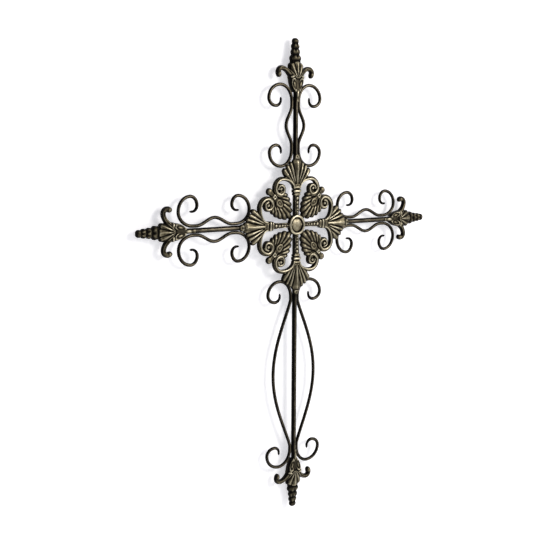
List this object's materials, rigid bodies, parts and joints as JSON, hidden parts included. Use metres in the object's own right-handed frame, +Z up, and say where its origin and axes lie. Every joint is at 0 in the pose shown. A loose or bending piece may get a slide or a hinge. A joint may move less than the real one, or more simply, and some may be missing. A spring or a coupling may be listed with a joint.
{
  "type": "wrought iron wall cross",
  "caption": "Openwork iron wall cross: round rods with bent scrolls, a cast medallion of shells and palmettes at the crossing, and a cast finial on each arm.",
  "frame": {"origin": "on the wall plane behind the crossing, where the back of the upright rod bears on the wall", "axes": "+Z up along the upright rod, +X to the viewer's right along the side arms, -Y out of the wall towards the viewer"},
  "size_m": [0.69, 0.0149, 0.897],
  "materials": {
    "casting": "antique bronze paint on cast iron, dark in the hollows and rubbed to a pale warm metal on the crests",
    "bar": "dark antique bronze paint on bent round iron bar, satin, worn a little lighter along the front"
  },
  "bodies": {
    "root": {"medallion": "casting", "top_finial": "casting", "left_finial": "casting", "right_finial": "casting", "bottom_finial": "casting", "upright_rod": "bar", "left_rod": "bar", "right_rod": "bar", "top_scroll_left": "bar", "top_scroll_right": "bar", "left_scroll_upper": "bar", "left_scroll_lower": "bar", "right_scroll_upper": "bar", "right_scroll_lower": "bar", "bottom_scroll_left": "bar", "bottom_scroll_right": "bar"}
  },
  "joints": []
}
